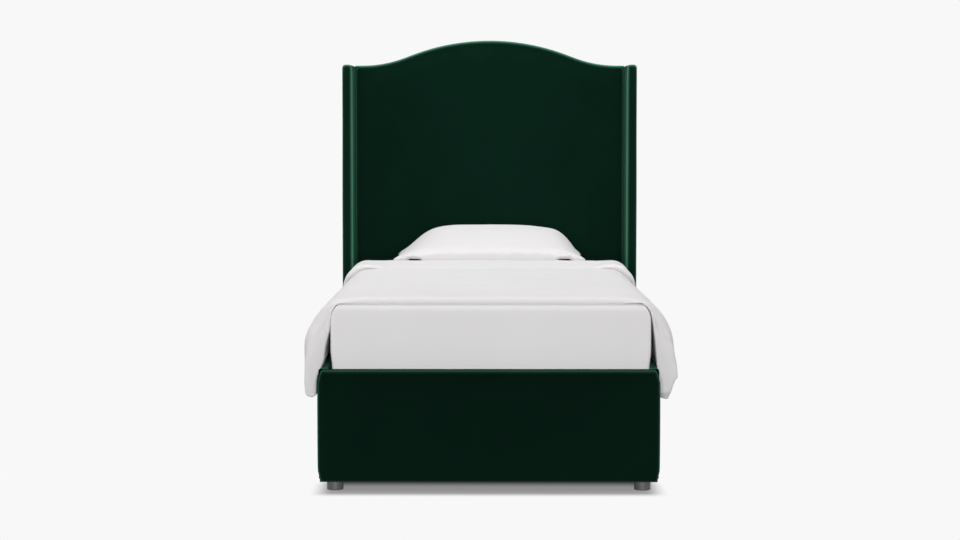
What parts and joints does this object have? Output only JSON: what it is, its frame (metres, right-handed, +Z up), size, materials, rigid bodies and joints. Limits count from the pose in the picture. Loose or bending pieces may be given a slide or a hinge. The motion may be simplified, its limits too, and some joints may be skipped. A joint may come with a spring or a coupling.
{
  "type": "wingback bed",
  "caption": "Upholstered wingback bed with an arched velvet headboard between straight wings, low panel rails and footboard, slatted base, mattress, duvet and pillow.",
  "frame": {"origin": "on the floor, in the middle of the bed's footprint", "axes": "+Z up; +Y from the foot end to the headboard, along the length of the bed; +X across the bed, to the right as seen from the foot end looking at the headboard"},
  "size_m": [1.1, 2.04, 1.401],
  "materials": {
    "velvet": "matte",
    "back_cloth": "matte",
    "foam": "matte",
    "plywood": "matte",
    "timber": "matte",
    "slat_wood": "matte",
    "webbing": "matte",
    "plated_steel": "satin",
    "fastener_steel": "satin",
    "foot_plastic": "satin",
    "glide_plastic": "satin",
    "ticking": "matte",
    "sheet_cotton": "matte",
    "duvet_cotton": "matte",
    "pillow_cotton": "matte"
  },
  "bodies": {
    "bed_frame": {"beam_hangers": "plated_steel", "centre_beam": "timber", "centre_leg": "timber", "foot_front_left": "foot_plastic", "foot_front_right": "foot_plastic", "foot_rear_left": "foot_plastic", "foot_rear_right": "foot_plastic", "footboard_core": "timber", "footboard_cover": "velvet", "footboard_foam": "foam", "headboard_arch_rail": "timber", "headboard_back_cloth": "back_cloth", "headboard_bottom_rail": "timber", "headboard_cover": "velvet", "headboard_face_board": "plywood", "headboard_foam": "foam", "headboard_mid_rail": "timber", "headboard_mount_board": "plywood", "headboard_stile_left": "timber", "headboard_stile_right": "timber", "ledge_screws": "fastener_steel", "plate_screws": "fastener_steel", "rail_hook_plates": "plated_steel", "rail_hook_receivers": "plated_steel", "side_rail_board_left": "plywood", "side_rail_board_right": "plywood", "side_rail_cover_left": "velvet", "side_rail_cover_right": "velvet", "side_rail_foam_left": "foam", "side_rail_foam_right": "foam", "slat_01": "slat_wood", "slat_02": "slat_wood", "slat_03": "slat_wood", "slat_04": "slat_wood", "slat_05": "slat_wood", "slat_06": "slat_wood", "slat_07": "slat_wood", "slat_08": "slat_wood", "slat_09": "slat_wood", "slat_10": "slat_wood", "slat_11": "slat_wood", "slat_12": "slat_wood", "slat_ledge_left": "slat_wood", "slat_ledge_right": "slat_wood", "slat_straps": "webbing", "wing_board_left": "plywood", "wing_board_right": "plywood", "wing_bolts": "fastener_steel", "wing_cover_left": "velvet", "wing_cover_right": "velvet", "wing_foam_left": "foam", "wing_foam_right": "foam", "wing_insert_nuts": "fastener_steel"},
    "mattress": {"mattress": "ticking", "fitted_sheet": "sheet_cotton"},
    "duvet": {"duvet": "duvet_cotton"},
    "pillow": {"pillow": "pillow_cotton"},
    "levelling_glide": {"levelling_glide": "glide_plastic"}
  },
  "joints": [
    {"name": "mattress_lift", "type": "slide", "parent": "bed_frame", "child": "mattress", "axis": [0, 0, 1], "range_m": [0, 0.3]},
    {"name": "duvet_lift", "type": "slide", "parent": "mattress", "child": "duvet", "axis": [0, 0, 1], "range_m": [0, 0.35]},
    {"name": "pillow_lift", "type": "slide", "parent": "mattress", "child": "pillow", "axis": [0, 0, 1], "range_m": [0, 0.25]},
    {"name": "glide_adjust", "type": "slide", "parent": "bed_frame", "child": "levelling_glide", "axis": [0, 0, 1], "range_m": [0, 0.012]}
  ]
}
